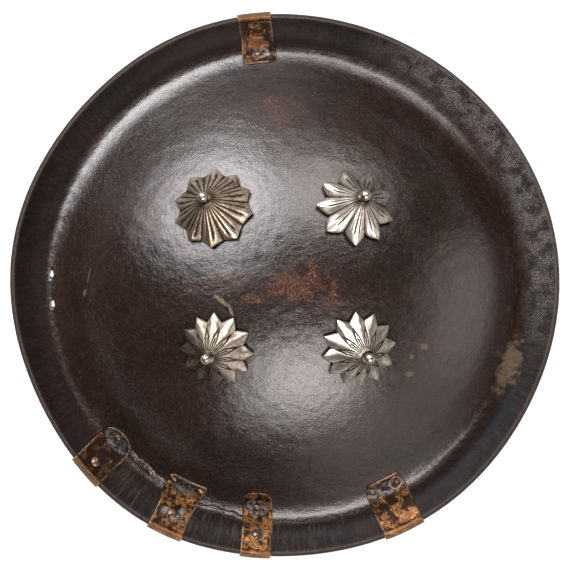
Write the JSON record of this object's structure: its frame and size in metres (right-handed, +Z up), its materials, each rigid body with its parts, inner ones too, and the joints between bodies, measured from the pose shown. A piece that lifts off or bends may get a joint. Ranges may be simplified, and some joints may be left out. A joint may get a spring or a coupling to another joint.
{
  "type": "round dhal shield",
  "caption": "Round domed shield of dark lacquered hide with an upturned brim, fluted flower-shaped metal bosses with ball finials, and riveted repair straps folded over the rim.",
  "frame": {"origin": "middle of the bottom of the part's box, on the surface it lies on, under the crown of the dome", "axes": "+Z up, out of the shield's face; +Y towards the single strap at the top of the shield; +X to the right as the face is seen"},
  "size_m": [0.5037, 0.5022, 0.1245],
  "materials": {
    "lacquered_hide": "black-brown lacquer on rawhide, semi-gloss, crackled and worn to red-brown in places",
    "silvered_metal": "worn silvered metal with a warm brown patina in the grooves",
    "dark_iron": "dark forged iron with traces of rust",
    "copper_alloy": "orange-brown copper alloy, blotched black-brown, bright along its edges, greyish round the rivets"
  },
  "bodies": {
    "root": {"shield_hide": "lacquered_hide", "boss_upper_left": "silvered_metal", "boss_bolt_upper_left": "silvered_metal", "boss_washer_upper_left": "dark_iron", "boss_upper_right": "silvered_metal", "boss_bolt_upper_right": "silvered_metal", "boss_washer_upper_right": "dark_iron", "boss_lower_left": "silvered_metal", "boss_bolt_lower_left": "silvered_metal", "boss_washer_lower_left": "dark_iron", "boss_lower_right": "silvered_metal", "boss_bolt_lower_right": "silvered_metal", "boss_washer_lower_right": "dark_iron", "strap_top": "copper_alloy", "rivet_top_1": "copper_alloy", "strap_left": "copper_alloy", "rivet_left_1": "copper_alloy", "rivet_left_2": "copper_alloy", "strap_lower_left": "copper_alloy", "rivet_lower_left_1": "copper_alloy", "rivet_lower_left_2": "copper_alloy", "rivet_lower_left_3": "copper_alloy", "strap_bottom": "copper_alloy", "rivet_bottom_1": "copper_alloy", "rivet_bottom_2": "copper_alloy", "strap_lower_right": "copper_alloy", "rivet_lower_right_1": "copper_alloy", "rivet_lower_right_2": "copper_alloy"}
  },
  "joints": []
}
